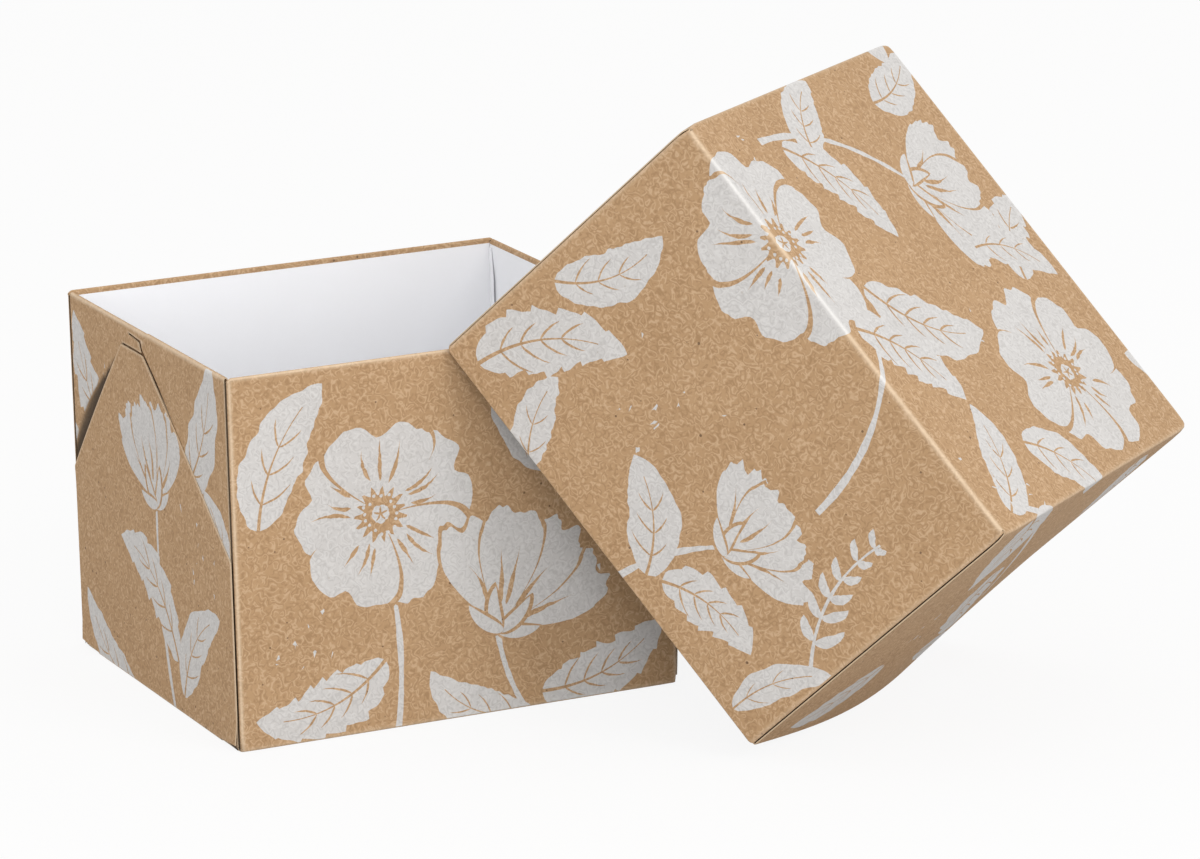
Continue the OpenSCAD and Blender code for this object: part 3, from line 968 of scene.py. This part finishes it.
# How deep the long walls' hollow is. Then each unevenness of the end flaps and end walls, with
# how far it reaches: the flap's lift along its rear shoulder, at its top front corner and at its
# foot, how the wall sinks behind the shoulder, and how its tab lifts. Last, how much lower the
# wall's rear part is than its front part at the rim.
hollow = 0.7
rear_lift, rear_reach = 0.8, 15.0
corner_lift, corner_reach = 0.45, 6.0
foot_lift, foot_reach = 0.9, 7.0
wall_sink, sink_reach = 0.95, 7.0
tab_lift, tab_reach = 0.5, (6.0, 3.0)
rim_drop = 0.35


def base_sag(p):
    """The long walls' slight hollow: most at the middle of the panel, none at its edges."""
    x, z = np.clip(p[:, 0] / (base_w / 2), -1, 1), np.clip(p[:, 2] / base_h, 0, 1)
    deep = hollow * np.cos(x * np.pi / 2) ** 2 * np.sin(z * np.pi) ** 2
    at_wall = np.clip((np.abs(p[:, 1]) - base_d / 2 + 4) / 2, 0, 1)
    return np.stack([0 * x, -np.sign(p[:, 1]) * deep * at_wall, 0 * x], axis=1)


def down_shoulder(p, limit):
    """How far down the flap's shoulders each point is, from 0 at their top to 1, and how far
    back the rear shoulder is at that height."""
    along = (flap_top_h - p[:, 2]) / (flap_top_h - shoulder_h)
    return along, flap_top_l + np.clip(along, -0.2, limit) * (flap_reach[1] - flap_top_l)


def flap_lift(p):
    """How the end flap stands off its wall: along its rear shoulder, most half-way down it and
    fading across the flap, and a little at its top front corner and at its clipped foot."""
    side = np.sign(p[:, 0])
    along, shoulder = down_shoulder(p, 1.0)
    away = np.clip(shoulder - p[:, 1], 0, None)
    lift = rear_lift * np.exp(-(away / rear_reach) ** 2)
    lift *= np.sin(np.pi * np.clip(0.12 + 0.80 * along, 0, 1)) ** 0.8
    front_shoulder = -flap_top_front - np.clip(along, -0.2, 1.0) * (flap_reach[-1] - 1.3)
    near = np.clip(p[:, 1] - front_shoulder, 0, None)
    at_top = np.clip(1 - along * 2.4, 0, 1) * (along > -0.2)
    lift += corner_lift * np.exp(-(near / corner_reach) ** 2) * at_top
    foot = np.clip((np.abs(p[:, 1]) - (base_d / 2 - clip_l)) / clip_l, 0, 1)
    lift += foot_lift * foot * np.exp(-((p[:, 2] - fold_r) / foot_reach) ** 2) * (side < 0)
    return np.stack([side * lift, 0 * lift, 0 * lift], axis=1)


place, facing = bent(place, facing, base_sag)
on_flap = (np.abs(flat[:, 0]) > ub + quarter) & (np.abs(flat[:, 1]) <= vb + 0.5)
place[on_flap], facing[on_flap] = bent(place[on_flap], facing[on_flap], flap_lift)
# Wear with a painted highlight along the base's folds and the end flaps' edges, and painted shade
# on the hidden flaps in the corner slits.
worn_and_highlit = tray_wear_and_painted_light(flat, base, (0.45, 0.4, 0.85, 0.75, 0.4, 0.0))
for edge in flap_edges:
    near = fold_glow(from_line(np.abs(flat) * [1, 0] + flat * [0, 1], *edge), 0.5, 0.8)
    worn_and_highlit = np.where(on_flap, np.maximum(worn_and_highlit, near), worn_and_highlit)
base_board.add(triangles, layers, blunted(place, base, 0.9, 2.4), facing, worn_and_highlit,
               tray_backs(flat, triangles, base))

# The base's end walls: each is a panel behind the end flap, rolled over at the rim and lined.
# Its back part laps over its front part as a small tab, with open slits above and beside it.
end_inset = board_t + 0.08
end_rear, end_front = base_d / 2 - 2.6, base_d / 2 - 3.2
end_rim = base_d / 2 - wall_t - 1.1
end_lining = base_d / 2 - wall_t - 0.1
end_foot = 0.6


def fold_end(p, run, side):
    """Carries a flat end wall, drawn by the place along it and the run up it, to its place."""
    inset, z, out, up = wall_path(run, base_h)
    place = np.stack([side * (base_w / 2 - end_inset - inset), p, z], axis=1)
    return place, np.stack([side * out, 0 * p, up], axis=1)


def end_half(reach):
    """Half of an end wall's outline by (along, run): its outer panel, rim and lining."""
    return np.array([(reach, run_to(end_foot)), (reach, run_to(base["flap_top"])),
                     (reach, rim_a - 0.3), (end_rim, rim_a), (end_rim, rim_b),
                     (end_lining, rim_b), (end_lining, lining_end)])


end_outline = np.concatenate([end_half(end_rear), (end_half(end_front) * [-1, 1])[::-1]])
tab_low, tab_top = flap_top_h, 153.4
tab_slit = np.array([(y, run_to(z)) for y, z in (
    (26.6, tab_low + 0.1), (26.6, tab_low + 0.95), (4.2, tab_low + 1.25), (7.2, tab_top - 1.45),
    (18.7, tab_top - 0.5), (19.2, tab_top + 0.45), (5.0, tab_top - 0.3), (0.4, tab_low + 0.2),
    (-12.0, tab_low - 8.4), (-29.0, tab_low - 22.0), (-12.0, tab_low - 11.5),
    (2.0, tab_low - 1.0))])
tab_lines = [((19.2, run_to(tab_top + 0.45)), (5.0, run_to(tab_top - 0.3)), (10.0, rim_a)),
             ((7.2, run_to(tab_top - 1.45)), (4.2, run_to(tab_low + 1.25)),
              (20.0, run_to(tab_low + 2.0))),
             ((4.2, run_to(tab_low + 1.25)), (26.6, run_to(tab_low + 0.95)),
              (20.0, run_to(tab_low + 3.0)))]


def end_field(p):
    """The end wall's unevenness: it sinks along the flap's rear shoulder, its front part stands
    a little higher at the rim than its rear part, and the tab's lower front corner lifts."""
    side = np.sign(p[:, 0])
    along, shoulder = down_shoulder(p, 1.15)
    away = p[:, 1] - shoulder
    deep = wall_sink * np.clip(along, 0, 1) ** 0.6
    deep *= np.exp(-(np.clip(away, 0, None) / sink_reach) ** 2)
    deep *= np.clip((p[:, 1] + 5.0 + np.clip(along, 0, 1) * 80.0) / 12.0, 0, 1)
    at_face = np.clip((np.abs(p[:, 0]) - (base_w / 2 - 2.0)) / 0.5, 0, 1)
    tab = np.exp(-((p[:, 1] - 4.0) / tab_reach[0]) ** 2
                 - ((p[:, 2] - tab_low - 1.5) / tab_reach[1]) ** 2)
    deep -= tab_lift * tab * (p[:, 1] > 1.0)
    step = rim_drop * np.clip(-p[:, 1] / 1.5, 0, 1) * np.clip((p[:, 2] - base_h + 2.5) / 2, 0, 1)
    return np.stack([-side * deep * at_face, 0 * side, step - rim_drop], axis=1)


end_prints = {
    -1: on_panel(
        ((0, run_to(0.0)), (-1, 0), (0, 1)),
        leaf((-40, 92), (-84, 150), 30, 0.10, 6, 4), leaf((-60, 60), (-88, 100), 20, 0.12, 0, 3),
        leaf((40, 100), (72, 160), 27, -0.10, 0, 3), leaf((86, 66), (60, 104), 18, -0.1, 0, 2),
        flecks((-52, 128), 9, 9, 1.3)),
    1: on_panel(
        ((0, run_to(0.0)), (1, 0), (0, 1)),
        leaf((-40, 92), (-80, 152), 30, 0.10, 0, 4), leaf((46, 96), (78, 158), 26, -0.10, 6, 3),
        flecks((60, 92), 9, 9, 1.5)),
}
# Painted shade behind the flap's rear shoulder, a band: where it starts, how wide it is at most
# and how far its edge fades, least and most. It narrows to nothing at both ends of the shoulder.
band_start, band_wide, band_fade = 0.4, 6.9, (0.6, 2.4)
for side in (-1, 1):
    creases = [((-end_rim, r), (end_rim, r)) for r in np.concatenate(
        [strips(rim_a, np.pi * rim_r, rim_steps), [rim_a - 2.5, rim_a - 1.0, rim_b + 1.2]])]
    creases += [((y, rim_a - 4.0), (y, rim_b + 4.0)) for y in (0.0, -1.5)]
    shapes = end_prints[side] + strip(BROWN, (-base_d, base_d), (rim_a + 0.9, rim_b + 1.5))
    shapes += strip(BARE, (-base_d, base_d), (rim_b + 1.2, lining_end + 9))
    rear_shoulder = (flap_top_l, run_to(flap_top_h)), (flap_reach[1], run_to(shoulder_h))
    creases += beside(*rear_shoulder, (end_rear, rim_a),
                      (-1.0, 0.5, 2.0, 3.5, 5.0, 6.5, 8.0, 9.5, 11.0))
    for a, b, towards in tab_lines:
        creases += beside(a, b, towards, (0.45, 0.9))
    creases += [((-end_front, run_to(z)), (end_rear, run_to(z))) for z in (1.5, 3.0)]
    flat, triangles, layers = cut_board(end_outline, [tab_slit], shapes, creases, 5.0)
    place, facing = fold_end(flat[:, 0], flat[:, 1], side)
    place, facing = bent(place, facing, end_field)
    flipped = triangles[:, ::-side]
    # Wear with a painted highlight along the rim and beside the tab's slits.
    worn_and_highlit = 0.95 * fold_glow(flat[:, 1] - rim_a - 0.5, 0.8)
    # The painted shadow behind the flap's rear shoulder: how dark each point of the wall is
    # painted.
    along = np.clip((run_to(flap_top_h) - flat[:, 1]) / (flap_top_h - shoulder_h), 0, 1)
    away = from_line(flat, *rear_shoulder)
    share = np.sin(np.pi * np.clip((along - 0.08) / 1.02, 0, 1))
    deep = np.clip(1 - (away - band_start - band_wide * share)
                   / (band_fade[0] + band_fade[1] * share), 0, 1)
    deep *= (flat[:, 1] < run_to(flap_top_h + 0.5)) * (flat[:, 1] > run_to(shoulder_h - 4))
    deep *= flat[:, 0] > 20
    deep *= 1.0 - 0.05 * np.clip(away - 4, 0, 8)
    for a, b, _ in tab_lines:
        glow = fold_glow(from_line(flat, a, b), 0.5, 0.8)
        worn_and_highlit = np.maximum(worn_and_highlit, glow * (flat[:, 1] > run_to(tab_low)))
    # Painted shade at the wall's foot, seen in the gap under the flap's clipped corner.
    foot = np.clip((3.0 - flat[:, 1] + run_to(0.0)) / 1.5, 0, 1)
    base_board.add(flipped, layers, place, facing, worn_and_highlit - np.maximum(deep, foot),
                   np.full(len(flipped), float(BROWN)))

# A narrow tongue of the rear wall's lining comes round its right inner corner and lies over
# the end's lining, with its edge a little off it.
tongue_w, tongue_top = 5.2, base_h - 4.0
flat, triangles, layers = cut_board(
    np.array([(0, 2), (tongue_w, 2), (tongue_w, tongue_top - 14), (2.0, tongue_top),
              (0, tongue_top)]),
    [], strip(BARE, (-9, 20), (-9, base_h + 9)),
    [((k, 2), (k, tongue_top - 1)) for k in (0.8, 1.6)], 4.0)
stand = 0.55 + 0.7 * (flat[:, 0] / tongue_w) ** 2
place = np.stack([base_w / 2 - end_inset - wall_t - stand,
                  base_d / 2 - wall_t - 0.1 - flat[:, 0], flat[:, 1]], axis=1)
facing = np.stack([-np.ones(len(flat)), -0.25 * flat[:, 0] / tongue_w, 0 * stand], axis=1)
facing /= np.linalg.norm(facing, axis=1, keepdims=True)
base_board.add(triangles[:, ::-1], layers, place, facing, 0 * stand,
               np.full(len(triangles), float(BARE)), BARE)

base_piece = base_board.build("base_board", board_material)
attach(base_piece, "root")
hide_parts("base")

# The lid: a deeper tray of one board, a little larger all round. It lies over on one end,
# leant across the base's corner, and the rim of its lower end has bowed out.
fit_gap = 0.4
lid_w, lid_d, lid_h = base_w + 2 * (fit_gap + wall_t), base_d + 2 * (fit_gap + wall_t), 151.0
bow, bow_power = 8.5, 1.3
lean_in, lean_turn, lean_gap = 104.0, np.radians(53.5), 0.2
lid = {"w": lid_w, "d": lid_d, "h": lid_h, "flap_top": lid_h - rim_r - slit_w,
       "skins": ((0.8, 0.97), (0.8, 0.97)), "plane": 0.97}
ub, vb = lid_w / 2 - fold_r, lid_d / 2 - fold_r
rim_a, rim_b = rim_run(lid_h)
lining_end = lining_run(lid_h)
lid_rim = lid_d / 2 - wall_t - 0.5
lid_lining = lid_d / 2 - wall_t - 0.1
end_panel = lid_d / 2 - 2.2


def lid_quadrant(end, side):
    """A quarter of the lid's flat outline, from the end wall's lining round to the long wall's."""
    reach = lid_d / 2 - (1.4 if end > 0 else 1.5)
    foot = min(reach + 0.8, vb)
    panel = [(ub + lining_end, lid_lining), (ub + rim_b, lid_lining), (ub + rim_b, lid_rim),
             (ub + rim_a, lid_rim), (ub + rim_a - 1.0, reach), (ub + quarter + 3.0, reach),
             (ub + quarter, foot), (ub, foot), (ub, vb)]
    return np.array(panel + wall_outline(lid, end, side, 2.1))


# The lid's panels on its flat board, with its closed end up: the front wall, the closed top,
# the lower and the upper end, and the far wall. The walls' origins are at their rims.
lid_front = (-lid_w / 2, vb + quarter + lid_h - fold_r), (1, 0), (0, -1)
lid_top = (-lid_w / 2, lid_d / 2), (1, 0), (0, -1)
lid_low_end = (ub + quarter + lid_h - fold_r, lid_d / 2), (0, -1), (-1, 0)
lid_high_end = (-(ub + quarter + lid_h - fold_r), -lid_d / 2), (0, 1), (1, 0)
lid_rear = (lid_w / 2, -(vb + quarter + lid_h - fold_r)), (-1, 0), (0, 1)

lid_print = on_panel(
    lid_front,
    leaf((14, 8), (52, 66), 30, 0.12, 7, 4), leaf((60, -4), (40, 34), 18, 0.1, 0, 2),
    leaf((10, 60), (26, 112), 22, -0.14, 0, 3), stem((116, -10), (140, 52), 3.2, 0.08),
    side_flower((138, 46), 40, 1.35, 4, 1.0), leaf((124, 10), (84, 40), 24, -0.12, 0, 3),
    leaf((130, 14), (176, 26), 24, 0.12, 6, 4), sprig((196, 44), (176, 104), 0.12, 6, 14, 5),
    leaf((188, 4), (204, 50), 14, 0.1, 0, 2), flecks((84, 60), 12, 10, 1.5)
) + on_panel(
    lid_top,
    open_flower((60, 4), 42, 0.2), stem((150, -60), (96, 24), 3.2, -0.14),
    leaf((104, 8), (150, 44), 30, 0.12, 7, 4), leaf((90, 34), (128, 92), 30, -0.14, 0, 4),
    side_flower((60, 122), 48, 1.1, 4, 1.0), stem((18, 40), (60, 124), 3.2, 0.12),
    leaf((34, 70), (2, 104), 22, 0.12, 0, 3), open_flower((160, 128), 40, 0.7),
    leaf((176, 60), (214, 92), 24, 0.12, 0, 3), leaf((118, 150), (84, 190), 26, 0.12, 7, 3),
    leaf((22, 140), (6, 188), 22, -0.1, 0, 3), leaf((24, 52), (78, 84), 26, 0.12, 6, 4),
    leaf((198, 16), (152, 44), 22, -0.12, 0, 3), leaf((96, 132), (122, 176), 20, 0.14, 0, 3),
    flecks((130, 96), 10, 9, 1.5), flecks((24, 24), 7, 8, 1.5), flecks((190, 30), 8, 12, 1.6)
) + on_panel(
    lid_low_end,
    leaf((30, 150), (66, 86), 28, 0.12, 0, 4), stem((20, 160), (120, 60), 3.0, 0.08),
    leaf((88, 92), (128, 36), 26, -0.12, 6, 4), leaf((56, 40), (20, 8), 22, 0.1, 0, 3),
    leaf((150, 140), (172, 90), 22, 0.1, 0, 3), leaf((100, 30), (150, 4), 18, 0.1, 0, 2),
    flecks((60, 60), 10, 10, 1.5)
) + on_panel(
    lid_high_end,
    open_flower((86, 84), 40, 0.5), leaf((70, 40), (22, 12), 24, 0.12, 6, 4),
    stem((100, -8), (90, 50), 3.2, 0.05), leaf((124, 60), (168, 20), 26, 0.1, 0, 4),
    leaf((30, 110), (12, 160), 24, 0.1, 0, 3), flecks((150, 110), 10, 10, 1.5)
) + on_panel(
    lid_rear,
    side_flower((70, 70), 46, 1.3, 4, 1.0), stem((54, -10), (70, 72), 3.2, 0.08),
    leaf((58, 20), (16, 52), 26, -0.14, 7, 4), open_flower((150, 96), 38, 0.9),
    leaf((140, 50), (190, 20), 26, 0.12, 0, 4), stem((130, -10), (148, 60), 3.2, -0.06),
    leaf((20, 100), (40, 156), 24, 0.12, 0, 3), flecks((104, 30), 10, 10, 1.5))

long = lid_w / 2 - fold_r - 1.5
lid_strips = (
    strip(BROWN, (-long - 2, long + 2), (vb + rim_a + 1.2, vb + rim_b + 1.5), sides=mirrored)
    + strip(BROWN, (ub + rim_a + 1.2, ub + rim_b + 1.5), (-lid_rim, lid_rim), ends=mirrored)
    + strip(BROWN, (long + 1.0, long + 30), (vb + 0.5, vb + rim_a - curl_clear), mirrored, mirrored)
    + strip(BARE, (-lid_w, lid_w), (vb + rim_b + 1.2, vb + lining_end + 9), sides=mirrored)
    + strip(BARE, (ub + rim_b + 1.2, ub + lining_end + 9), (-lid_d, lid_d), ends=mirrored))

flat, triangles, layers = cut_board(four_quarters(lid_quadrant), [], lid_print + lid_strips,
                                    tray_creases(lid, end_panel, lid_rim))
place, facing = fold_tray(flat[:, 0], flat[:, 1], lid)


def lid_bow(p):
    """The lower end wall's bow: half a wave along its rim, fading down to its fold."""
    share = np.clip((p[:, 2] - fold_r) / (lid_h - rim_r - fold_r), 0, 1) ** bow_power
    wave = np.cos(np.pi * np.clip(p[:, 1] / (2 * lid_rim), -0.5, 0.5))
    at_wall = np.clip((p[:, 0] - lid_w / 2 + 5) / 2, 0, 1)
    return np.stack([bow * share * wave * at_wall, 0 * share, 0 * share], axis=1)


place, facing = bent(place, facing, lid_bow)
lid_board = Board()
# The lid's wear with a painted highlight along its folds, and painted shade on its hidden flaps in
# the corner slits.
lid_board.add(triangles, layers, blunted(place, lid, 1.3, 3.2), facing,
              tray_wear_and_painted_light(flat, lid, (0.5, 0.8, 0.12, 0.4, 0.45, 0.12)),
              tray_backs(flat, triangles, lid))

tip = np.arcsin((base_h + lean_gap) / (lid_w - wall_t + bow))
spin = -lean_turn
tipped = np.array([[np.cos(tip), 0, np.sin(tip)], [0, 1, 0], [-np.sin(tip), 0, np.cos(tip)]])
turned = np.array([[np.cos(spin), -np.sin(spin), 0], [np.sin(spin), np.cos(spin), 0], [0, 0, 1]])
upended = np.diag([1.0, -1.0, -1.0])
lean = np.array([base_w / 2 - lean_in, -base_d / 2 - wall_t * np.cos(lean_turn) - lean_gap,
                 base_h + lean_gap + rim_r + rim_r * (np.sin(tip) - np.cos(tip))])
rotation = turned @ tipped
offset = rotation @ np.array([lid_w / 2, lid_d / 2, lid_h]) + lean
lid_piece = lid_board.build("lid_board", board_material, (rotation @ upended, offset))
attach(lid_piece, "root")
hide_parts("lid")

# Brings the scene's placements up to date.
bpy.context.view_layer.update()
